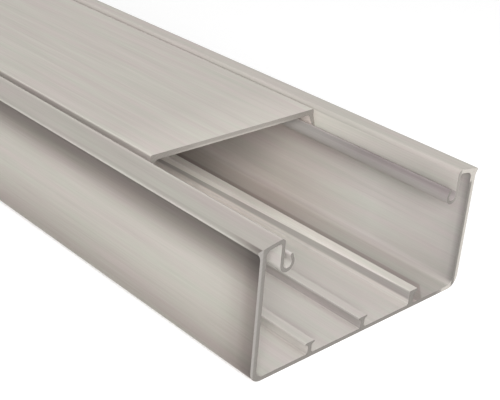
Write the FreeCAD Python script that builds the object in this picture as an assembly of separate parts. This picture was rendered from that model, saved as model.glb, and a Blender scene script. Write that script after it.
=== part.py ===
import FreeCAD, Part
import math
import os

# Two-piece cord cover raceway: an extruded base channel and a flat cover that drops between its rims.
# The length runs along X, the width along Y and the height along Z. The origin is on the underside,
# at the middle of the width and of the length. Sizes are in millimetres and angles in degrees.

# Lengths of stock
raceway_length = 1524.0
cover_setback = 77.6

# Base channel: outer size and walls
overall_width = 120.0
crest_height = 56.0
wall_thickness = 3.0
floor_thickness = 1.7
floor_corner_inside = 3.3
floor_corner_outside = 5.5

# Base channel: rim and sloped shoulder
rim_overhang = 1.2
rim_nose_radius = 0.6
cove_radius = 4.0
shoulder_width = 12.7
shoulder_slope = 9.5
shoulder_thickness = 1.6
shoulder_inside_radius = 2.5
leg_root_radius = 1.0
crest_radius = 1.8

# Base channel: J-shaped hook under each shoulder
hook_depth = 13.9
hook_wall = 1.6
hook_lip = 1.4
trough_radius = 1.9
lip_lean = 20.0
lip_straight = 1.9

# Base channel: ribs along the floor
rib_spacing = 29.0
tee_rib_height = 5.0
tee_rib_stem = 2.0
tee_rib_head = 4.8
tee_rib_edge = 0.8
rib_foot_radius = 1.0
rail_height = 6.3
rail_stem = 3.0
rail_head = 5.0
rail_edge = 1.2
rail_corner_radius = 0.5

# Cover: a plate level with the shoulders' crests, with a gap along each side
cover_gap = 2.7
cover_thickness = 2.4
cover_edge_radius = 0.5
cover_leg = 1.2
cover_leg_taper = 11.0
cover_leg_fillet = 1.0

# Clearance between the cover's legs and the hooks that hold them
fit_gap = 0.3

# Points of an outline closer than this are one point
same_point = 0.0001


# Places that both pieces share
leg_front = overall_width / 2 - shoulder_width
hook_outer_radius = trough_radius + (hook_wall + hook_lip) / 2
hook_centre_y = leg_front - trough_radius
hook_centre_z = crest_height - hook_depth + hook_outer_radius


def at(y, z):
    """A point of a section, which lies in the plane across the length."""
    return FreeCAD.Vector(0, y, z)


def turn(y, z, radius, start, end):
    """A round stretch about (y, z): its first, middle and last points."""
    angles = [math.radians(a) for a in (start, (start + end) / 2, end)]
    return [at(y + radius * math.cos(a), z + radius * math.sin(a)) for a in angles]


def mirrored(stops):
    """The same stretch of outline on the other side of the centre line."""
    return [[at(-p.y, p.z) for p in reversed(stop)] for stop in reversed(stops)]


def section(stops):
    """A face inside a ring of points and round stretches, joined by straight lines."""
    edges = []
    for stop, following in zip(stops, stops[1:] + stops[:1]):
        if len(stop) == 3:
            edges.append(Part.Arc(*stop).toShape())
        if not stop[-1].isEqual(following[0], same_point):
            edges.append(Part.LineSegment(stop[-1], following[0]).toShape())
    return Part.Face(Part.Wire(edges))


def extruded(face, start, end):
    """A section drawn out along X between two cut ends."""
    placed = face.translated(FreeCAD.Vector(start, 0, 0))
    return placed.extrude(FreeCAD.Vector(end - start, 0, 0))


def channel_side():
    """The right half of the channel's outline, from the floor inside round to the underside."""
    wall_outside = overall_width / 2 - rim_overhang
    wall_inside = wall_outside - wall_thickness
    leg_back = leg_front + hook_wall

    slope = math.radians(shoulder_slope)
    crest_y = leg_front + crest_radius
    crest_z = crest_height - crest_radius
    slope_offset = crest_y * math.sin(slope) + crest_z * math.cos(slope) + crest_radius

    def centre_under_slope(y, radius, depth):
        """Height of the centre of a round that touches the shoulder from below, at a depth."""
        return (slope_offset - depth - radius - y * math.sin(slope)) / math.cos(slope)

    bend_y = wall_inside - shoulder_inside_radius
    bend_z = centre_under_slope(bend_y, shoulder_inside_radius, shoulder_thickness)
    root_y = leg_back + leg_root_radius
    root_z = centre_under_slope(root_y, leg_root_radius, shoulder_thickness)
    nose_y = overall_width / 2 - rim_nose_radius
    nose_z = centre_under_slope(nose_y, rim_nose_radius, 0)

    # The nose of the rim runs into the cove below it with no corner between them
    rim_curve = rim_nose_radius + cove_radius
    cove_turn = math.degrees(math.acos(1 - rim_overhang / rim_curve))
    cove_z = nose_z - rim_curve * math.sin(math.radians(cove_turn))

    # The hook thins from its leg to its lip, so its two rounds have their centres a little apart
    outer_centre_y = hook_centre_y + (hook_wall - hook_lip) / 2
    lip_side = -180 - lip_lean
    lean = math.radians(lip_lean)
    lip_wall = hook_outer_radius - trough_radius - (hook_wall - hook_lip) / 2 * math.cos(lean)
    lip_middle = trough_radius + lip_wall / 2
    tip_y = hook_centre_y - lip_middle * math.cos(lean) + lip_straight * math.sin(lean)
    tip_z = hook_centre_z + lip_middle * math.sin(lean) + lip_straight * math.cos(lean)

    return [
        turn(wall_inside - floor_corner_inside, floor_thickness + floor_corner_inside,
             floor_corner_inside, -90, 0),
        turn(bend_y, bend_z, shoulder_inside_radius, 0, 90 - shoulder_slope),
        turn(root_y, root_z, leg_root_radius, 90 - shoulder_slope, 180),
        turn(outer_centre_y, hook_centre_z, hook_outer_radius, 0, lip_side),
        turn(tip_y, tip_z, lip_wall / 2, 180 - lip_lean, -lip_lean),
        turn(hook_centre_y, hook_centre_z, trough_radius, lip_side, 0),
        turn(crest_y, crest_z, crest_radius, 180, 90 - shoulder_slope),
        turn(nose_y, nose_z, rim_nose_radius, 90 - shoulder_slope, -cove_turn),
        turn(wall_outside + cove_radius, cove_z, cove_radius, 180 - cove_turn, 180),
        turn(wall_outside - floor_corner_outside, floor_corner_outside,
             floor_corner_outside, 0, -90),
    ]


def tee_rib(centre_y):
    """Section of a low rib with a T-shaped head, sunk into the floor it stands on."""
    arm = (tee_rib_head - tee_rib_stem) / 2
    top = floor_thickness + tee_rib_height
    side = [
        [at(tee_rib_stem / 2 + rib_foot_radius, floor_thickness / 2)],
        turn(tee_rib_stem / 2 + rib_foot_radius, floor_thickness + rib_foot_radius,
             rib_foot_radius, -90, -180),
        turn(tee_rib_head / 2, top - tee_rib_edge - arm, arm, 180, 90),
        turn(tee_rib_head / 2 - tee_rib_edge / 2, top - tee_rib_edge / 2, tee_rib_edge / 2, 0, 90),
    ]
    face = section(side + mirrored(side))
    return face.translated(at(centre_y, 0))


def undercut_rail(stem_y):
    """Section of the taller rail, whose flat head overhangs to one side of its stem."""
    left = stem_y - rail_stem / 2
    stem_right = left + rail_stem
    head_right = left + rail_head
    arm = rail_head - rail_stem
    top = floor_thickness + rail_height
    return section([
        [at(left - rib_foot_radius, floor_thickness / 2)],
        turn(left - rib_foot_radius, floor_thickness + rib_foot_radius, rib_foot_radius, -90, 0),
        turn(left + rail_corner_radius, top - rail_corner_radius, rail_corner_radius, 180, 90),
        turn(head_right - rail_corner_radius, top - rail_corner_radius, rail_corner_radius, 90, 0),
        turn(head_right, top - rail_edge - arm, arm, 90, 180),
        turn(stem_right + rib_foot_radius, floor_thickness + rib_foot_radius,
             rib_foot_radius, 180, 270),
        [at(stem_right + rib_foot_radius, floor_thickness / 2)],
    ])


def base_channel():
    """The open channel with its shoulders, hooks and ribs, extruded in one piece."""
    side = channel_side()
    start = -raceway_length / 2
    end = raceway_length / 2
    channel = extruded(section(side + mirrored(side)), start, end)
    ribs = [tee_rib(-rib_spacing), tee_rib(0), undercut_rail(rib_spacing)]
    return channel.fuse([extruded(rib, start, end) for rib in ribs]).removeSplitter()


def cover():
    """The flat plate and its two legs, which lean outwards to a bead in each hook's trough."""
    half_width = leg_front - cover_gap
    plate_under = crest_height - cover_thickness
    bead_radius = trough_radius - fit_gap

    # The leg's outer side runs from the plate's lower corner to touch the bead
    across = half_width - hook_centre_y
    rise = plate_under - hook_centre_z
    leg_lean = math.atan2(rise, across) - math.acos(bead_radius / math.hypot(across, rise))

    # The leg's inner side leaves the bead at its neck and leans further, so the leg widens upwards
    neck = leg_lean + math.acos((bead_radius - cover_leg) / bead_radius)
    neck_y = hook_centre_y + bead_radius * math.cos(neck)
    neck_z = hook_centre_z + bead_radius * math.sin(neck)
    inner_lean = leg_lean + math.radians(cover_leg_taper)

    # A fillet rounds the corner between the inner side and the plate's underside
    fillet_z = plate_under - cover_leg_fillet
    fillet_reach = cover_leg_fillet + (fillet_z - neck_z) * math.sin(inner_lean)
    fillet_y = neck_y - fillet_reach / math.cos(inner_lean)
    lean = math.degrees(leg_lean)
    side = [
        turn(fillet_y, fillet_z, cover_leg_fillet, 90, math.degrees(inner_lean)),
        turn(hook_centre_y, hook_centre_z, bead_radius, math.degrees(neck), 360 + lean),
        [at(half_width, plate_under)],
        turn(half_width - cover_edge_radius, crest_height - cover_edge_radius,
             cover_edge_radius, 0, 90),
    ]
    start = -raceway_length / 2
    end = raceway_length / 2 - cover_setback
    return extruded(section(side + mirrored(side)), start, end)


os.makedirs("parts", exist_ok=True)
for name, shape in (("base_channel", base_channel()), ("cover", cover())):
    solid = shape.Solids[0]
    print(name, "solids", len(shape.Solids), "valid", shape.isValid(), "volume", round(solid.Volume))
    solid.exportStep(os.path.join("parts", name + ".step"))
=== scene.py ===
import math

import bpy
from mathutils import Matrix, Vector


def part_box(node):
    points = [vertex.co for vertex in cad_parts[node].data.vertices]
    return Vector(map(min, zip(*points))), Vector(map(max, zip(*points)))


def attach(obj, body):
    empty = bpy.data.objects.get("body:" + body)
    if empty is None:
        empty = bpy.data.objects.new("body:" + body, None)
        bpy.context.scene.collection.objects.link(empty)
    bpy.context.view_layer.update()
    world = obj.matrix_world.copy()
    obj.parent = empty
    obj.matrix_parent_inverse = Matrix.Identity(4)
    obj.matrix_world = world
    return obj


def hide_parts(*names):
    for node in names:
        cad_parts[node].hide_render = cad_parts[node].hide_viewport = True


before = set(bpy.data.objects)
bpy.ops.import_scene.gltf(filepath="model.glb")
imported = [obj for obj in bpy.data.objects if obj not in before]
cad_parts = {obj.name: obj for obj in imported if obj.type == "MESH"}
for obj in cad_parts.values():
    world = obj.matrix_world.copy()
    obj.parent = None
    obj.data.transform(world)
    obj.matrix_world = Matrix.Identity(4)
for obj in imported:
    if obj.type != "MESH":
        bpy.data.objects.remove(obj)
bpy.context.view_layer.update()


# Camera: stands in front of the open end and to its left, above the raceway, looking down its length.
# It is rolled a few degrees, so the rims and the floor's edge lean as they do in the photograph.
camera_place = Vector((0.98145, -0.28132, 0.22903))
camera_azimuth = math.radians(-44.48)
camera_elevation = math.radians(26.52)
camera_roll = math.radians(4.66)

camera = bpy.data.objects.new("camera", bpy.data.cameras.new("camera"))
camera.data.sensor_fit = "HORIZONTAL"
camera.data.sensor_width = 36.0
camera.data.lens = 77.98
camera.data.clip_start = 0.01
camera.matrix_world = (
    Matrix.Translation(camera_place)
    @ Matrix.Rotation(camera_azimuth + math.pi / 2, 4, "Z")
    @ Matrix.Rotation(math.pi / 2 - camera_elevation, 4, "X")
    @ Matrix.Rotation(camera_roll, 4, "Z")
)
bpy.context.scene.collection.objects.link(camera)
bpy.context.scene.camera = camera


# Base channel: one length of extruded aluminium, left with the satin grain that the die and the belt
# give it. The floor, walls, shoulders, hooks and ribs are all one section, drawn out along the length
# and cut square with a saw at both ends. Its flat underside lies on the floor.

# Sizes of the section, in millimetres and degrees
millimetre = 0.001
overall_width = 120.0
crest_height = 56.0
wall_thickness = 3.0
floor_thickness = 1.7
floor_corner_inside = 3.3
floor_corner_outside = 5.5
rim_overhang = 1.2
rim_nose_radius = 0.6
cove_radius = 4.0
shoulder_width = 12.7
shoulder_slope = 9.5
shoulder_thickness = 1.6
shoulder_inside_radius = 2.5
leg_root_radius = 1.0
crest_radius = 1.8
hook_depth = 13.9
hook_wall = 1.6
hook_lip = 1.4
trough_radius = 1.9
lip_lean = 20.0
lip_straight = 1.9
rib_spacing = 29.0
tee_rib_height = 5.0
tee_rib_stem = 2.0
tee_rib_head = 4.8
tee_rib_edge = 0.8
rib_foot_radius = 1.0
rail_height = 6.3
rail_stem = 3.0
rail_head = 5.0
rail_edge = 1.2
rail_corner_radius = 0.5
leg_front = overall_width / 2 - shoulder_width
hook_outer_radius = trough_radius + (hook_wall + hook_lip) / 2
hook_centre_y = leg_front - trough_radius
hook_centre_z = crest_height - hook_depth + hook_outer_radius

# How finely a section is drawn: degrees in a step of a round stretch, and how far from each end of a
# straight run it has extra points, so that its shading stays flat between them
round_step = 6.0
run_stations = (0.12, 0.45, 1.1, 2.4)
same_point = 0.001

# An outer edge or an inner corner counts in full where the outline turns by this many degrees within
# this many millimetres
full_bend = 70.0
bend_reach = 0.9


def at(y, z):
    """A point of a section, which lies in the plane across the length."""
    return Vector((0.0, y, z))


def turn(y, z, radius, start, end):
    """Points of a round stretch about (y, z), in equal steps."""
    steps = max(2, math.ceil(abs(end - start) / round_step))
    angles = [math.radians(start + (end - start) * n / steps) for n in range(steps + 1)]
    return [at(y + radius * math.cos(a), z + radius * math.sin(a)) for a in angles]


def mirrored(stops):
    """The same stretch of outline on the other side of the centre line."""
    return [[at(-p.y, p.z) for p in reversed(stop)] for stop in reversed(stops)]


def channel_side():
    """The right half of the channel's outline, from the floor inside round to the underside."""
    wall_outside = overall_width / 2 - rim_overhang
    wall_inside = wall_outside - wall_thickness
    slope = math.radians(shoulder_slope)
    crest_y = leg_front + crest_radius
    crest_z = crest_height - crest_radius
    slope_offset = crest_y * math.sin(slope) + crest_z * math.cos(slope) + crest_radius

    def centre_under_slope(y, radius, depth):
        """Height of the centre of a round that touches the shoulder from below, at a depth."""
        return (slope_offset - depth - radius - y * math.sin(slope)) / math.cos(slope)

    bend_y = wall_inside - shoulder_inside_radius
    bend_z = centre_under_slope(bend_y, shoulder_inside_radius, shoulder_thickness)
    root_y = leg_front + hook_wall + leg_root_radius
    root_z = centre_under_slope(root_y, leg_root_radius, shoulder_thickness)
    nose_y = overall_width / 2 - rim_nose_radius
    nose_z = centre_under_slope(nose_y, rim_nose_radius, 0)
    rim_curve = rim_nose_radius + cove_radius
    cove_turn = math.degrees(math.acos(1 - rim_overhang / rim_curve))
    cove_z = nose_z - rim_curve * math.sin(math.radians(cove_turn))
    outer_centre_y = hook_centre_y + (hook_wall - hook_lip) / 2
    lip_side = -180 - lip_lean
    lean = math.radians(lip_lean)
    lip_wall = hook_outer_radius - trough_radius - (hook_wall - hook_lip) / 2 * math.cos(lean)
    lip_middle = trough_radius + lip_wall / 2
    tip_y = hook_centre_y - lip_middle * math.cos(lean) + lip_straight * math.sin(lean)
    tip_z = hook_centre_z + lip_middle * math.sin(lean) + lip_straight * math.cos(lean)
    return [
        turn(wall_inside - floor_corner_inside, floor_thickness + floor_corner_inside,
             floor_corner_inside, -90, 0),
        turn(bend_y, bend_z, shoulder_inside_radius, 0, 90 - shoulder_slope),
        turn(root_y, root_z, leg_root_radius, 90 - shoulder_slope, 180),
        turn(outer_centre_y, hook_centre_z, hook_outer_radius, 0, lip_side),
        turn(tip_y, tip_z, lip_wall / 2, 180 - lip_lean, -lip_lean),
        turn(hook_centre_y, hook_centre_z, trough_radius, lip_side, 0),
        turn(crest_y, crest_z, crest_radius, 180, 90 - shoulder_slope),
        turn(nose_y, nose_z, rim_nose_radius, 90 - shoulder_slope, -cove_turn),
        turn(wall_outside + cove_radius, cove_z, cove_radius, 180 - cove_turn, 180),
        turn(wall_outside - floor_corner_outside, floor_corner_outside,
             floor_corner_outside, 0, -90),
    ]


def tee_rib(centre_y):
    """Outline of a low rib with a T-shaped head, from the floor on its left to that on its right."""
    arm = (tee_rib_head - tee_rib_stem) / 2
    top = floor_thickness + tee_rib_height
    left = [
        turn(-tee_rib_stem / 2 - rib_foot_radius, floor_thickness + rib_foot_radius,
             rib_foot_radius, -90, 0),
        turn(-tee_rib_head / 2, top - tee_rib_edge - arm, arm, 0, 90),
        turn(-tee_rib_head / 2 + tee_rib_edge / 2, top - tee_rib_edge / 2, tee_rib_edge / 2, 180, 90),
    ]
    return [[p + at(centre_y, 0) for p in stop] for stop in left + mirrored(left)]


def undercut_rail(stem_y):
    """Outline of the taller rail, whose flat head overhangs to one side of its stem."""
    left = stem_y - rail_stem / 2
    stem_right = left + rail_stem
    head_right = left + rail_head
    arm = rail_head - rail_stem
    top = floor_thickness + rail_height
    return [
        turn(left - rib_foot_radius, floor_thickness + rib_foot_radius, rib_foot_radius, -90, 0),
        turn(left + rail_corner_radius, top - rail_corner_radius, rail_corner_radius, 180, 90),
        turn(head_right - rail_corner_radius, top - rail_corner_radius, rail_corner_radius, 90, 0),
        turn(head_right, top - rail_edge - arm, arm, 90, 180),
        turn(stem_right + rib_foot_radius, floor_thickness + rib_foot_radius,
             rib_foot_radius, 180, 270),
    ]


def ring_of(stops):
    """One closed ring of points through all the stops, with the metal on its left."""
    ring = []
    for stop, following in zip(stops, stops[1:] + stops[:1]):
        ring += stop
        run = following[0] - stop[-1]
        near = [d for d in run_stations if d < run.length / 2]
        places = near + [run.length - d for d in reversed(near)]
        ring += [stop[-1] + run * (d / run.length) for d in places]
    ring = [p for p, before in zip(ring, ring[-1:] + ring[:-1]) if (p - before).length > same_point]
    area = sum(p.y * q.z - q.y * p.z for p, q in zip(ring, ring[1:] + ring[:1]))
    return ring if area > 0 else ring[::-1]


def bend_near(corner, lengths, bends):
    """How far the outline turns in all within reach of a corner. Turns further off count for less."""
    bent = bends[corner]
    for way in (1, -1):
        gone, n = 0.0, corner
        while True:
            gone += lengths[n] if way > 0 else lengths[n - 1]
            n = (n + way) % len(bends)
            if gone > bend_reach:
                break
            bent += bends[n] * (1 - gone / bend_reach)
    return bent / math.radians(full_bend)


def section_face(name, stops):
    """A flat face with the section's shape. Each corner keeps which way is out of the metal, and how
    much of an outer edge or of an inner corner lies near it, which the finish reads."""
    ring = ring_of(stops)
    count = len(ring)
    steps = [ring[(n + 1) % count] - ring[n] for n in range(count)]
    lengths = [step.length for step in steps]
    ways = [step.normalized() for step in steps]
    bends = [math.atan2(ways[n - 1].y * ways[n].z - ways[n - 1].z * ways[n].y,
                        ways[n - 1].dot(ways[n])) for n in range(count)]
    mesh = bpy.data.meshes.new(name)
    mesh.from_pydata([p * millimetre for p in ring], [], [list(range(count))])
    outward = mesh.attributes.new("outward", "FLOAT_VECTOR", "POINT")
    edge = mesh.attributes.new("edge", "FLOAT", "POINT")
    hollow = mesh.attributes.new("hollow", "FLOAT", "POINT")
    for n in range(count):
        sides = [Vector((0.0, way.z, -way.y)) for way in (ways[n - 1], ways[n])]
        outward.data[n].vector = (sides[0] + sides[1]) / max(0.5, 1 + sides[0].dot(sides[1]))
        bent = bend_near(n, lengths, bends)
        edge.data[n].value = min(1.0, max(0.0, bent))
        hollow.data[n].value = min(1.0, max(0.0, -bent))
    return mesh


def put(tree, kind, sockets=None, **settings):
    """A new node in a tree. Each socket takes a plain value or another node's output."""
    made = tree.nodes.new(kind)
    for key, value in settings.items():
        setattr(made, key, value)
    for key, value in (sockets or {}).items():
        if isinstance(value, bpy.types.NodeSocket):
            tree.links.new(value, made.inputs[key])
        else:
            made.inputs[key].default_value = value
    return made


def worked(tree, operation, *values):
    """One step of arithmetic on plain values and other nodes' outputs."""
    return put(tree, "ShaderNodeMath", dict(enumerate(values)), operation=operation).outputs[0]


def tree_with(kind, name, inputs, outputs):
    """An empty node tree with its named inputs and outputs, and its two end nodes."""
    tree = bpy.data.node_groups.new(name, kind)
    for label, socket in inputs.items():
        tree.interface.new_socket(label, in_out="INPUT", socket_type=socket)
    for label, socket in outputs.items():
        tree.interface.new_socket(label, in_out="OUTPUT", socket_type=socket)
    return tree, tree.nodes.new("NodeGroupInput").outputs, tree.nodes.new("NodeGroupOutput").inputs


def stock_tree():
    """A section's face drawn out between its two saw cuts, with a fine break along their edges."""
    number = "NodeSocketFloat"
    tree, given, result = tree_with(
        "GeometryNodeTree", "stock_drawn_from_a_section",
        {"Section": "NodeSocketGeometry", "Far End": number, "Near End": number,
         "Broken Edge": number, "Sharp Corner": number, "Finish": "NodeSocketMaterial"},
        {"Stock": "NodeSocketGeometry"})

    def along(value):
        """A step of that much along the length."""
        return put(tree, "ShaderNodeCombineXYZ", {"X": value}).outputs[0]

    broken = given["Broken Edge"]
    length = worked(tree, "SUBTRACT", given["Near End"], given["Far End"])
    body = worked(tree, "MULTIPLY_ADD", broken, -2.0, length)
    far_face = put(tree, "GeometryNodeTransform",
                   {"Geometry": given["Section"], "Translation": along(given["Far End"])}).outputs[0]
    drawn, top = far_face, None
    for step in (broken, body, broken):
        sockets = {"Mesh": drawn, "Offset": along(step), "Offset Scale": 1.0, "Individual": False}
        if top is not None:
            sockets["Selection"] = top
        pulled = put(tree, "GeometryNodeExtrudeMesh", sockets, mode="FACES")
        drawn, top = pulled.outputs["Mesh"], pulled.outputs["Top"]
    back = put(tree, "GeometryNodeFlipFaces", {"Mesh": far_face}).outputs[0]
    joined = tree.nodes.new("GeometryNodeJoinGeometry")
    for part in (drawn, back):
        tree.links.new(part, joined.inputs[0])
    closed = put(tree, "GeometryNodeMergeByDistance",
                 {"Geometry": joined.outputs[0], "Distance": same_point * millimetre}).outputs[0]

    place = put(tree, "ShaderNodeSeparateXYZ",
                {"Vector": tree.nodes.new("GeometryNodeInputPosition").outputs[0]}).outputs["X"]
    at_far = worked(tree, "LESS_THAN", place,
                    worked(tree, "MULTIPLY_ADD", broken, 0.5, given["Far End"]))
    at_near = worked(tree, "GREATER_THAN", place,
                     worked(tree, "MULTIPLY_ADD", broken, -0.5, given["Near End"]))
    outward = put(tree, "GeometryNodeInputNamedAttribute", {"Name": "outward"},
                  data_type="FLOAT_VECTOR").outputs["Attribute"]
    drawn_in = put(tree, "ShaderNodeVectorMath",
                   {0: outward, "Scale": worked(tree, "MULTIPLY", broken, -1.0)}, operation="SCALE")
    eased = put(tree, "GeometryNodeSetPosition",
                {"Geometry": closed, "Selection": worked(tree, "MAXIMUM", at_far, at_near),
                 "Offset": drawn_in.outputs[0]}).outputs[0]

    smooth = put(tree, "GeometryNodeSetShadeSmooth",
                 {"Geometry": eased, "Shade Smooth": True}, domain="FACE").outputs[0]
    bend = tree.nodes.new("GeometryNodeInputMeshEdgeAngle").outputs["Unsigned Angle"]
    sharp = worked(tree, "GREATER_THAN", bend, given["Sharp Corner"])
    cornered = put(tree, "GeometryNodeSetShadeSmooth",
                   {"Geometry": smooth, "Selection": sharp, "Shade Smooth": False},
                   domain="EDGE").outputs[0]
    real = put(tree, "GeometryNodeRealizeInstances", {"Geometry": cornered}).outputs[0]
    finished = put(tree, "GeometryNodeSetMaterial",
                   {"Geometry": real, "Material": given["Finish"]}).outputs[0]
    tree.links.new(finished, result["Stock"])
    return tree


stock = stock_tree()

# By how many millimetres the saw's burr is broken off, and past how many degrees an edge stays crisp
broken_edge = 0.2
sharp_corner = 30.0


def length_of_stock(name, section, far_end, near_end, finish):
    """One piece of stock: its section drawn out, made a plain mesh with its place in it."""
    piece = bpy.data.objects.new(name, section)
    bpy.context.scene.collection.objects.link(piece)
    drawing = piece.modifiers.new("drawn_out", "NODES")
    drawing.node_group = stock
    values = {"Far End": far_end, "Near End": near_end, "Broken Edge": broken_edge * millimetre,
              "Sharp Corner": math.radians(sharp_corner), "Finish": finish}
    for item in stock.interface.items_tree:
        if item.in_out == "INPUT" and item.name in values:
            drawing[item.identifier] = values[item.name]
    bpy.context.view_layer.update()
    graph = bpy.context.evaluated_depsgraph_get()
    mesh = bpy.data.meshes.new_from_object(
        piece.evaluated_get(graph), preserve_all_data_layers=True, depsgraph=graph)
    piece.modifiers.clear()
    piece.data = mesh
    mesh.name = name
    mesh.attributes.remove(mesh.attributes["outward"])
    return piece


def ranged(tree, value, low, high, to_low, to_high, smooth=False):
    """A value taken from one range to another, and held at its ends."""
    return put(tree, "ShaderNodeMapRange",
               {"Value": value, "From Min": low, "From Max": high, "To Min": to_low,
                "To Max": to_high},
               interpolation_type="SMOOTHSTEP" if smooth else "LINEAR").outputs[0]


def fade(tree, value, gone, full):
    """0 at one limit and past it, rising evenly to 1 at the other, which may be higher or lower."""
    return ranged(tree, value, gone, full, 0.0, 1.0)


# Noise lies mostly between these two values, which are spread out to 0 and 1
noise_middle = 0.3, 0.7


def grain_group():
    """Brushed grain that runs along the length: fine scratches, wider streaks and slow drift."""
    number = "NodeSocketFloat"
    tree, given, result = tree_with(
        "ShaderNodeTree", "lengthwise_grain", {"Scratch Length": number, "Scratch Width": number},
        {"Scratches": number, "Streaks": number, "Drift": number, "Height": number})
    place = tree.nodes.new("ShaderNodeTexCoord").outputs["Object"]

    def grain(longer, wider, detail):
        """Noise that is so many times longer and wider than a scratch."""
        along = worked(tree, "DIVIDE", 1.0 / longer, given["Scratch Length"])
        across = worked(tree, "DIVIDE", 1.0 / wider, given["Scratch Width"])
        scale = put(tree, "ShaderNodeCombineXYZ", {"X": along, "Y": across, "Z": across}).outputs[0]
        stretched = put(tree, "ShaderNodeVectorMath", {0: place, 1: scale},
                        operation="MULTIPLY").outputs[0]
        noise = put(tree, "ShaderNodeTexNoise",
                    {"Vector": stretched, "Scale": 1.0, "Detail": detail, "Roughness": 0.6})
        return fade(tree, noise.outputs[0], *noise_middle)

    scratches = grain(longer=1.0, wider=1.0, detail=3.0)
    streaks = grain(longer=2.4, wider=6.0, detail=2.0)
    drift = grain(longer=1.6, wider=9.0, detail=2.0)
    streak_relief = 0.6
    height = worked(tree, "MULTIPLY_ADD", streaks, streak_relief, scratches)
    for label, output in (("Scratches", scratches), ("Streaks", streaks), ("Drift", drift),
                          ("Height", height)):
        tree.links.new(output, result[label])
    return tree


def saw_group():
    """Which faces are saw cuts, and the fine curved marks that the blade left across them."""
    tree, given, result = tree_with(
        "ShaderNodeTree", "saw_cut", {"Mark Width": "NodeSocketFloat"},
        {"Cut": "NodeSocketFloat", "Marks": "NodeSocketFloat"})
    coordinates = tree.nodes.new("ShaderNodeTexCoord").outputs
    facing = put(tree, "ShaderNodeSeparateXYZ", {"Vector": coordinates["Normal"]}).outputs["X"]
    squarely = worked(tree, "ABSOLUTE", facing)
    blade_centre = (0.0, -0.11, 0.16)
    flat = put(tree, "ShaderNodeVectorMath", {0: coordinates["Object"], 1: (0.0, 1.0, 1.0)},
               operation="MULTIPLY").outputs[0]
    reach = put(tree, "ShaderNodeVectorMath", {0: flat, 1: blade_centre},
                operation="DISTANCE").outputs["Value"]
    lines = worked(tree, "DIVIDE", reach, given["Mark Width"])
    noise = put(tree, "ShaderNodeTexNoise", {"W": lines, "Scale": 1.0, "Detail": 2.0},
                noise_dimensions="1D")
    tree.links.new(fade(tree, squarely, 0.8, 0.95), result["Cut"])
    tree.links.new(fade(tree, noise.outputs[0], *noise_middle), result["Marks"])
    return tree


def patchy_group(name, attribute, label, detail, roughness, spread, least):
    """The amount that the section's corners keep in an attribute, broken up by patches in which it
    falls as low as the least share."""
    tree, given, result = tree_with(
        "ShaderNodeTree", name, {"Patch Length": "NodeSocketFloat"}, {label: "NodeSocketFloat"})
    corners = put(tree, "ShaderNodeAttribute", attribute_name=attribute,
                  attribute_type="GEOMETRY").outputs["Fac"]
    place = tree.nodes.new("ShaderNodeTexCoord").outputs["Object"]
    scale = worked(tree, "DIVIDE", 1.0, given["Patch Length"])
    noise = put(tree, "ShaderNodeTexNoise",
                {"Vector": place, "Scale": scale, "Detail": detail, "Roughness": roughness})
    patches = ranged(tree, noise.outputs[0], *spread, least, 1.0)
    tree.links.new(worked(tree, "MULTIPLY", corners, patches), result[label])
    return tree


grain = grain_group()
saw = saw_group()

# Outer edges are rubbed bright by handling and fitting. Inner corners are darker and rougher, in
# patches.
wear = patchy_group("rubbed_edges", "edge", "Rubbed", detail=4.0, roughness=0.65,
                    spread=(0.35, 0.62), least=0.35)
dulling = patchy_group("dull_corners", "hollow", "Dull", detail=3.0, roughness=0.5,
                       spread=noise_middle, least=0.6)


def placed(tree, group, **values):
    """A node group in a material, with its own values."""
    made = tree.nodes.new("ShaderNodeGroup")
    made.node_tree = group
    for key, value in values.items():
        made.inputs[key.replace("_", " ")].default_value = value
    return made.outputs


def mixed(tree, amount, first, second, blend="MIX"):
    """Two colours mixed by an amount, each a plain colour or another node's output."""
    return put(tree, "ShaderNodeMix", {0: amount, 6: first, 7: second}, data_type="RGBA",
               blend_type=blend).outputs[2]


def colour(red, green, blue):
    """A colour as it is seen, from 0 to 255, turned into the amounts of light that nodes use."""
    parts = [c / 255 for c in (red, green, blue)]
    light = [c / 12.92 if c <= 0.04045 else ((c + 0.055) / 1.055) ** 2.4 for c in parts]
    return (*light, 1.0)


# The finish of both pieces: sizes of scratches, saw marks and patches in metres, how much each shows in
# the colour, and how rough and how metallic the surface is
scratch_length, scratch_width = 0.035, 0.0006
saw_mark_width = 0.00045
rubbed_patch, dull_patch = 0.02, 0.03
streak_share = 0.55
warm_drift = colour(251, 255, 250), colour(255, 250, 251)
# The colour that darkens inner corners, and how much of it they take
corner_colour, corner_share = colour(130, 125, 118), 0.3
rubbed_metal, rubbed_share = colour(226, 222, 216), 0.15
mark_tones = colour(238, 238, 238), colour(255, 255, 255)
smoothest, roughest = 0.58, 0.70
rubbed_roughness, dull_roughness = -0.05, 0.15
scratch_depth, bump_strength = 0.00003, 0.2
metallic, specular = 0.25, 0.3


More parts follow.
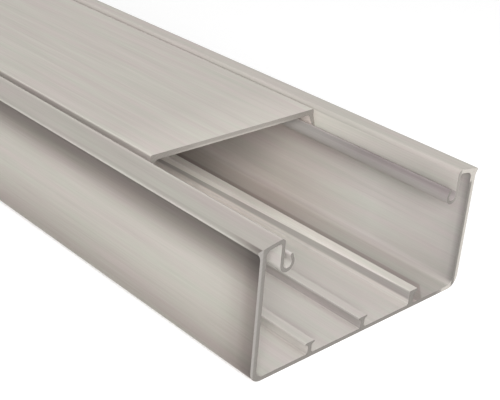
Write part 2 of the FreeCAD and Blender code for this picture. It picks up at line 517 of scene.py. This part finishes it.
def satin_aluminium(name, pale, deep, cut, shade):
    """Extruded aluminium with a satin grain along its length and bare saw-cut ends. The functions cut
    and shade add the nodes for the ends' colour, which holds painted light and shade, and for the
    painted light and shade over the skin."""
    material = bpy.data.materials.new(name)
    material.use_nodes = True
    tree = material.node_tree
    tree.nodes.clear()
    brushed = placed(tree, grain, Scratch_Length=scratch_length, Scratch_Width=scratch_width)
    sawn = placed(tree, saw, Mark_Width=saw_mark_width)
    rubbed = placed(tree, wear, Patch_Length=rubbed_patch)["Rubbed"]
    dull = placed(tree, dulling, Patch_Length=dull_patch)["Dull"]

    streaks = worked(tree, "MULTIPLY", brushed["Streaks"], streak_share)
    tone = worked(tree, "MULTIPLY_ADD", brushed["Scratches"], 1 - streak_share, streaks)
    skin = mixed(tree, tone, deep, pale)
    skin = mixed(tree, 1.0, skin, mixed(tree, brushed["Drift"], *warm_drift), "MULTIPLY")
    # Painted light and shade, as amounts that multiply the skin's colour
    skin = mixed(tree, 1.0, skin, shade(tree), "MULTIPLY")
    skin = mixed(tree, worked(tree, "MULTIPLY", dull, corner_share), skin, corner_colour)
    skin = mixed(tree, worked(tree, "MULTIPLY", rubbed, rubbed_share), skin, rubbed_metal)
    # The cut ends' colour, which holds painted light and shade
    end = mixed(tree, 1.0, cut(tree), mixed(tree, sawn["Marks"], *mark_tones), "MULTIPLY")
    skin = mixed(tree, sawn["Cut"], skin, end)

    rough = ranged(tree, brushed["Scratches"], 0.0, 1.0, roughest, smoothest)
    rough = worked(tree, "MULTIPLY_ADD", rubbed, rubbed_roughness, rough)
    rough = worked(tree, "MULTIPLY_ADD", dull, dull_roughness, rough)
    relief = put(tree, "ShaderNodeMix",
                 {0: sawn["Cut"], 2: brushed["Height"], 3: sawn["Marks"]}).outputs[0]
    bump = put(tree, "ShaderNodeBump", {"Height": relief, "Strength": bump_strength,
                                        "Distance": scratch_depth}).outputs[0]
    shader = put(tree, "ShaderNodeBsdfPrincipled",
                 {"Base Color": skin, "Metallic": metallic, "Specular IOR Level": specular,
                  "Roughness": rough, "Normal": bump})
    output = tree.nodes.new("ShaderNodeOutputMaterial")
    tree.links.new(shader.outputs[0], output.inputs["Surface"])
    return material


def product(tree, *values):
    """The product of plain values and other nodes' outputs."""
    result = values[0]
    for value in values[1:]:
        result = worked(tree, "MULTIPLY", result, value)
    return result


def between(tree, value, low, high, soft):
    """1 where a value lies between two limits, and less over a short way outside them."""
    return product(tree, fade(tree, value, low - soft, low), fade(tree, value, high + soft, high))


def block(tree, place, **sides):
    """1 in a block of space, and less near its faces. A side with three numbers has its low and high
    limits and how soft they are, and one with two has where the block is gone and where it is full."""
    masks = [(between if len(limits) == 3 else fade)(tree, place[axis], *limits)
             for axis, limits in sides.items()]
    return product(tree, *masks)


def elsewhere(tree, mask):
    """1 where a mask is 0, and 0 where it is 1."""
    return worked(tree, "SUBTRACT", 1.0, mask)


def stepped(tree, value, *stops):
    """A grey that follows a value through (place, amount) stops."""
    ramp = put(tree, "ShaderNodeValToRGB", {"Fac": value})
    ramp.color_ramp.interpolation = "LINEAR"
    points = ramp.color_ramp.elements
    while len(points) < len(stops):
        points.new(1.0)
    for point, (place, amount) in zip(points, stops):
        point.position = place
        point.color = (amount, amount, amount, 1.0)
    return ramp.outputs[0]


# The shades below are painted light and shade: amounts that multiply a skin's colour, above 1
# where light is painted and below 1 where shade is. Their limits are in metres: X along the length,
# Y across it and Z up from the underside.
unchanged = (1.0, 1.0, 1.0, 1.0)
near_cut = 0.762


def tinted(tree, shade, where, change):
    """A shade multiplied by a colour, or by another shade, where a mask is 1."""
    if isinstance(change, tuple):
        change = (*change, 1.0)
    return mixed(tree, 1.0, shade, mixed(tree, where, unchanged, change), "MULTIPLY")


def parted(tree, label):
    """A point's place on its piece ("Object"), or the way it faces ("Normal"), as X, Y and Z."""
    vector = tree.nodes.new("ShaderNodeTexCoord").outputs[label]
    return put(tree, "ShaderNodeSeparateXYZ", {"Vector": vector}).outputs


def outer_shade(tree, place, aside):
    """Painted shade on the walls' outer faces: a little on both, and more on the left one, which is
    darker and warmer under its rim and near its foot, and darker towards the near end."""
    by_height = stepped(tree, fade(tree, place["Z"], 0.0, crest_height * millimetre),
                        (0.0, 0.57), (0.1, 0.64), (0.25, 0.82), (0.42, 0.97), (0.62, 1.0),
                        (0.68, 0.94), (0.74, 0.76), (0.8, 0.54), (0.87, 0.34), (0.945, 0.25),
                        (0.955, 1.0))
    by_length = stepped(tree, fade(tree, place["X"], 0.735, near_cut),
                        (0.0, 1.0), (0.3, 0.97), (0.45, 0.91), (0.7, 0.74), (0.85, 0.54), (1.0, 0.40))
    wall = mixed(tree, 1.0, by_height, by_length, "MULTIPLY")
    warmth = mixed(tree, wall, (1.10, 0.985, 0.97, 1.0), (0.99, 1.0, 0.99, 1.0))
    wall = mixed(tree, 1.0, wall, warmth, "MULTIPLY")
    shade = mixed(tree, block(tree, place, Y=(-0.0578, -0.0583)), unchanged, wall)
    return tinted(tree, shade, fade(tree, aside, 0.0578, 0.0583), (0.93, 0.93, 0.93))


def rib_shade(tree, shade, place, aside, across, low):
    """Painted light and shade on the ribs. Their sides carry painted shade, and on the rail's side it
    lies between a line at its foot and one at its top, which both sink away from the near end. The
    rail's head and foot carry a painted highlight, and the floor close beyond it a painted shadow."""
    top_line = ranged(tree, place["X"], 0.562, near_cut, 0.0036, 0.0079)
    foot_line = ranged(tree, place["X"], 0.600, near_cut, 0.0024, 0.0041)
    on_rail = block(tree, place, Y=(0.020, 0.021))
    below_top = fade(tree, worked(tree, "SUBTRACT", top_line, place["Z"]), -0.0002, 0.0002)
    below_foot = fade(tree, worked(tree, "SUBTRACT", foot_line, place["Z"]), -0.0004, 0.0004)
    above_top = product(tree, on_rail, elsewhere(tree, below_top))
    at_foot = product(tree, on_rail, below_foot)
    near = fade(tree, place["X"], 0.640, 0.755)

    # Painted shade on the ribs' sides, more on the middle rib's and the rail's towards the near end
    sides = product(tree, across, low, fade(tree, aside, 0.041, 0.040), elsewhere(tree, above_top),
                    elsewhere(tree, at_foot))
    shade = tinted(tree, shade, sides, (0.87, 0.86, 0.86))
    near_sides = product(tree, sides, block(tree, place, Y=(-0.016, -0.015)), near)
    shade = tinted(tree, shade, near_sides, (0.68, 0.67, 0.68))

    # Painted highlight on the rail's head, which fades towards the near end
    head = product(tree, block(tree, place, Y=(0.0270, 0.0326, 0.0002), Z=(0.0030, 0.0085, 0.0002)),
                   above_top, ranged(tree, near, 0.0, 1.0, 1.0, 0.3))
    shade = tinted(tree, shade, head, (1.58, 1.58, 1.56))
    # Painted highlight along the rail's foot, further in from the near end
    foot = product(tree, at_foot, block(tree, place, X=(0.705, 0.640), Y=(0.0235, 0.0277, 0.0010),
                                        Z=(0.0010, 0.0015)))
    shade = tinted(tree, shade, foot, (1.60, 1.59, 1.57))

    # Painted shadow on the floor close beyond the rail
    strip_edge = ranged(tree, place["X"], 0.7545, 0.7625, 0.0435, 0.0350)
    within = worked(tree, "SUBTRACT", strip_edge, place["Y"])
    strip = product(tree, block(tree, place, Y=(0.0305, 0.0315), Z=(0.0015, 0.0025, 0.0005)),
                    fade(tree, within, -0.0010, 0.0))
    return tinted(tree, shade, strip, (0.78, 0.74, 0.74))


def rim_shade(tree, shade, place, shoulder_top):
    """Painted light and shade on the shoulders, the right one's crest and leg, both hooks' lips and the
    right hook's trough: painted shade on the lips, the trough, the shoulders' tops and the crest, and
    painted light on the right leg, which gives way to painted shade towards the near end.
    """
    lip_height = (0.0415, 0.0500, 0.0002)
    right_lip = product(tree, block(tree, place, Y=(0.0418, 0.0450, 0.0002), Z=lip_height),
                        ranged(tree, place["Z"], 0.0430, 0.0490, 0.35, 1.0),
                        ranged(tree, place["X"], 0.675, 0.715, 0.6, 1.0))
    right_leg = block(tree, place, Y=(0.0470, 0.0480, 0.0002), Z=(0.0472, 0.0540, 0.0006))
    for where, change in (
            (right_lip, (0.34, 0.30, 0.32)),
            (block(tree, place, Y=(-0.0450, -0.0418, 0.0002), Z=lip_height), (0.86, 0.86, 0.86)),
            (block(tree, place, Y=(0.0454, 0.0480, 0.0002), Z=(0.0415, 0.0470, 0.0003)),
             (0.64, 0.61, 0.63)),
            (product(tree, shoulder_top, block(tree, place, Y=(-0.0488, -0.0500))),
             (0.76, 0.755, 0.755)),
            (product(tree, shoulder_top, block(tree, place, Y=(0.0485, 0.0495))),
             (0.97, 0.96, 0.96)),
            (block(tree, place, Y=(0.0470, 0.0485, 0.0005), Z=(0.0540, 0.0548)),
             (0.90, 0.89, 0.89)),
            (right_leg, (1.20, 1.19, 1.16)),
            (product(tree, right_leg, block(tree, place, X=(0.690, 0.745))), (0.73, 0.73, 0.73))):
        shade = tinted(tree, shade, where, change)
    return shade


def inner_wall_shade(tree, shade, place, inside):
    """Painted light and shade on the right wall's inner face, which is darker towards the near end.
    Beyond the rail the floor carries painted shade, the wall is painted darker further in and
    brighter towards the open stretch, and both are warmer further in."""
    wall = product(tree, block(tree, place, Y=(0.0545, 0.0555)), inside)
    by_cut = stepped(tree, fade(tree, place["X"], 0.745, near_cut),
                     (0.0, 1.0), (0.5, 0.92), (0.8, 0.82), (0.9, 0.64), (1.0, 0.45))
    shade = tinted(tree, shade, wall, by_cut)
    near_wall = product(tree, wall, block(tree, place, X=(0.715, 0.745)))
    shade = tinted(tree, shade, near_wall, (0.84, 0.83, 0.83))

    beyond = product(tree, inside, block(tree, place, Y=(0.0328, 0.0334), Z=(0.0420, 0.0400)))
    on_wall = stepped(tree, fade(tree, place["X"], 0.60, 0.70),
                      (0.0, 0.90), (0.2, 0.90), (0.4, 0.94), (0.6, 1.04), (0.8, 1.10), (1.0, 1.10))
    on_floor = stepped(tree, fade(tree, place["Y"], 0.033, 0.056),
                       (0.0, 0.70), (0.5, 0.80), (0.8, 0.86), (1.0, 0.96))
    floor_share = ranged(tree, place["Z"], 0.0020, 0.0140, 1.0, 0.0, smooth=True)
    shade = tinted(tree, shade, beyond, mixed(tree, floor_share, on_wall, on_floor))
    far = product(tree, beyond, block(tree, place, X=(0.710, 0.660)))
    return tinted(tree, shade, far, (1.03, 0.98, 0.96))


def channel_shade(tree):
    """Painted light and shade over the channel's skin. Faces that look sideways carry a little
    painted shade, the inside is painted brighter and bluer, and its floor and the ribs' tops less so."""
    place, facing = parted(tree, "Object"), parted(tree, "Normal")
    aside = worked(tree, "ABSOLUTE", place["Y"])
    upwards = fade(tree, facing["Z"], 0.3, 0.7)
    across = fade(tree, worked(tree, "ABSOLUTE", facing["Y"]), 0.45, 0.6)
    shoulder_top = product(tree, upwards, block(tree, place, Z=(0.0510, 0.0515)))
    inside = product(tree, fade(tree, aside, 0.0575, 0.0570), elsewhere(tree, shoulder_top),
                     block(tree, place, Z=(0.0010, 0.0542, 0.0004)))
    low = block(tree, place, Z=(0.0015, 0.0085, 0.0002))
    shade = outer_shade(tree, place, aside)
    shade = tinted(tree, shade, across, (0.93, 0.93, 0.93))
    shade = tinted(tree, shade, inside, (1.20, 1.22, 1.26))
    shade = tinted(tree, shade, product(tree, upwards, low), (0.85, 0.84, 0.83))
    shade = rib_shade(tree, shade, place, aside, across, low)
    shade = rim_shade(tree, shade, place, shoulder_top)
    return inner_wall_shade(tree, shade, place, inside)


def channel_cut(tree):
    """The cut's colour, with painted light and shade in it: painted brighter on the outer half of the
    left wall and on the right side, with a line of painted shade along the right wall's inner side."""
    place = parted(tree, "Object")
    bright = colour(182, 177, 170)
    outer_left = block(tree, place, Y=(-0.0572, -0.0578))
    cut = mixed(tree, outer_left, colour(124, 120, 115), colour(150, 146, 142))
    cut = mixed(tree, ranged(tree, place["Y"], 0.0450, 0.0490, 0.0, 0.4), cut, bright)
    cut = mixed(tree, block(tree, place, Y=(0.0490, 0.0495)), cut, bright)
    inner_line = block(tree, place, Y=(0.0556, 0.0570, 0.0003), Z=(0.0495, 0.0485))
    return mixed(tree, inner_line, cut, colour(122, 118, 113))


channel_finish = satin_aluminium(
    "satin_channel", pale=colour(201, 196, 190), deep=colour(188, 183, 177),
    cut=channel_cut, shade=channel_shade)
side = channel_side()
channel_ring = side + mirrored(side) + tee_rib(-rib_spacing) + tee_rib(0) + undercut_rail(rib_spacing)
channel_far, channel_near = (corner.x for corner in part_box("base_channel"))
channel = length_of_stock("raceway_channel", section_face("channel_section", channel_ring),
                          channel_far, channel_near, channel_finish)
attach(channel, "root")
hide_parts("base_channel")


# Cover: a flat extruded plate, level with the channel's crests, with a leg along each side that leans
# outwards. The bead along each leg's foot is pressed down into the trough of the channel's hook, and
# only that holds it. It is cut back from the near end, which leaves the channel open there.
cover_gap = 2.7
cover_thickness = 2.4
cover_edge_radius = 0.5
cover_leg = 1.2
cover_leg_taper = 11.0
cover_leg_fillet = 1.0
fit_gap = 0.3


def cover_side():
    """The right half of the cover's outline, from its underside round the leg to its top."""
    half_width = leg_front - cover_gap
    plate_under = crest_height - cover_thickness
    bead_radius = trough_radius - fit_gap
    across = half_width - hook_centre_y
    rise = plate_under - hook_centre_z
    leg_lean = math.atan2(rise, across) - math.acos(bead_radius / math.hypot(across, rise))
    neck = leg_lean + math.acos((bead_radius - cover_leg) / bead_radius)
    neck_y = hook_centre_y + bead_radius * math.cos(neck)
    neck_z = hook_centre_z + bead_radius * math.sin(neck)
    inner_lean = leg_lean + math.radians(cover_leg_taper)
    fillet_z = plate_under - cover_leg_fillet
    fillet_reach = cover_leg_fillet + (fillet_z - neck_z) * math.sin(inner_lean)
    fillet_y = neck_y - fillet_reach / math.cos(inner_lean)
    lean = math.degrees(leg_lean)
    return [
        turn(fillet_y, fillet_z, cover_leg_fillet, 90, math.degrees(inner_lean)),
        turn(hook_centre_y, hook_centre_z, bead_radius, math.degrees(neck), 360 + lean),
        [at(half_width, plate_under)],
        turn(half_width - cover_edge_radius, crest_height - cover_edge_radius,
             cover_edge_radius, 0, 90),
    ]


def cover_shade(tree):
    """Painted light and shade over the cover's skin. Its legs and the plate's sides carry painted
    shade, and its upper right edge, its near end and the inner side of its right leg there carry
    painted light."""
    place, facing = parted(tree, "Object"), parted(tree, "Normal")
    below_edge, above_edge = (0.0556, 0.0552), (0.0552, 0.0556)
    sideways = fade(tree, worked(tree, "ABSOLUTE", facing["Y"]), 0.5, 0.7)
    low_sides = product(tree, sideways, block(tree, place, Z=below_edge))
    right_edge = product(tree, fade(tree, facing["Y"], 0.1, 0.5), block(tree, place, Z=above_edge))
    side_shade = mixed(tree, low_sides, unchanged, (0.78, 0.75, 0.77, 1.0))
    shade = mixed(tree, right_edge, side_shade, (1.3, 1.3, 1.3, 1.0))
    near = block(tree, place, X=(0.655, 0.683))
    shade = tinted(tree, shade, near, (1.12, 1.12, 1.12))
    leg_inside = product(tree, block(tree, place, Y=(0.040, 0.041), Z=(0.0536, 0.0530)), near,
                         fade(tree, facing["Y"], -0.4, -0.7))
    return tinted(tree, shade, leg_inside, (2.0, 2.0, 2.0))


def cover_cut(tree):
    """The cut's colour, with painted shade over the upper part of the plate and towards the legs."""
    place = parted(tree, "Object")
    plate = mixed(tree, block(tree, place, Z=(0.0541, 0.0545)),
                  colour(174, 169, 162), colour(152, 147, 141))
    towards_legs = fade(tree, worked(tree, "ABSOLUTE", place["Y"]), 0.018, 0.036)
    return mixed(tree, towards_legs, plate, colour(138, 133, 127))


cover_finish = satin_aluminium(
    "satin_cover", pale=colour(197, 192, 186), deep=colour(183, 178, 172),
    cut=cover_cut, shade=cover_shade)
side = cover_side()
cover_far, cover_near = (corner.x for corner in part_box("cover"))
cover = length_of_stock("raceway_cover", section_face("cover_section", side + mirrored(side)),
                        cover_far, cover_near, cover_finish)
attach(cover, "root")
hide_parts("cover")


# Floor and light: a plain pale floor that keeps the raceway's shadow, in a pale room with two wide soft
# lamps, a weak one overhead and the main one in front of the open end, to light the channel's inside.
# Floor and room look white, for which the floor glows, and more so beyond the reach of the front lamp.
white = (1.0, 1.0, 1.0, 1.0)
floor_colour = (0.8, 0.8, 0.8, 1.0)
floor_glow, far_floor_glow = 0.3, 0.75
far_floor_from, far_floor_to = 1.7, 2.6
floor_half = 8.0
floor_drop = 0.0002
room_light = 0.24


def seen_or_mirrored(tree):
    """1 on a ray from the camera, or one that a shiny or clear surface sends on."""
    path = tree.nodes.new("ShaderNodeLightPath").outputs
    either = worked(tree, "MAXIMUM", path["Is Camera Ray"], path["Is Glossy Ray"])
    return worked(tree, "MAXIMUM", either, path["Is Transmission Ray"])


floor_finish = bpy.data.materials.new("pale_floor")
floor_finish.use_nodes = True
tree = floor_finish.node_tree
tree.nodes.clear()
matt = put(tree, "ShaderNodeBsdfPrincipled", {"Base Color": floor_colour, "Roughness": 0.9})
spot = tree.nodes.new("ShaderNodeTexCoord").outputs["Object"]
away = put(tree, "ShaderNodeVectorMath", {0: spot}, operation="LENGTH").outputs["Value"]
lift = product(tree, seen_or_mirrored(tree),
               ranged(tree, away, far_floor_from, far_floor_to, floor_glow, far_floor_glow))
glow = put(tree, "ShaderNodeEmission", {"Color": white, "Strength": lift})
both = put(tree, "ShaderNodeAddShader", {0: matt.outputs[0], 1: glow.outputs[0]})
tree.links.new(both.outputs[0], tree.nodes.new("ShaderNodeOutputMaterial").inputs["Surface"])

floor_mesh = bpy.data.meshes.new("studio_floor")
corners = [(x * floor_half, y * floor_half, -floor_drop)
           for x, y in ((-1, -1), (1, -1), (1, 1), (-1, 1))]
floor_mesh.from_pydata(corners, [], [(0, 1, 2, 3)])
floor_mesh.materials.append(floor_finish)
studio_floor = bpy.data.objects.new("studio_floor", floor_mesh)
bpy.context.scene.collection.objects.link(studio_floor)

room = bpy.data.worlds.new("pale_room")
room.use_nodes = True
tree = room.node_tree
tree.nodes.clear()
strength = put(tree, "ShaderNodeMix",
               {0: seen_or_mirrored(tree), 2: room_light, 3: 1.0}).outputs[0]
sky = put(tree, "ShaderNodeBackground", {"Color": white, "Strength": strength})
tree.links.new(sky.outputs[0], tree.nodes.new("ShaderNodeOutputWorld").inputs["Surface"])
bpy.context.scene.world = room


def soft_lamp(name, place, aim, width, height, power):
    """A wide lamp that faces a point of the raceway. Places and sizes are in metres, power in watts."""
    lamp = bpy.data.lights.new(name, "AREA")
    lamp.shape = "RECTANGLE"
    lamp.size = width
    lamp.size_y = height
    lamp.energy = power
    holder = bpy.data.objects.new(name, lamp)
    holder.location = place
    holder.rotation_euler = (Vector(aim) - Vector(place)).to_track_quat("-Z", "Y").to_euler()
    bpy.context.scene.collection.objects.link(holder)


soft_lamp("overhead_lamp", place=(0.9, 0.2, 2.9), aim=(0.4, 0.0, 0.0),
          width=2.4, height=1.6, power=18.0)
soft_lamp("front_lamp", place=(2.7, -1.4, 1.25), aim=(0.6, 0.0, 0.0),
          width=2.0, height=1.5, power=110.0)

view = bpy.context.scene.view_settings
view.view_transform = "Standard"
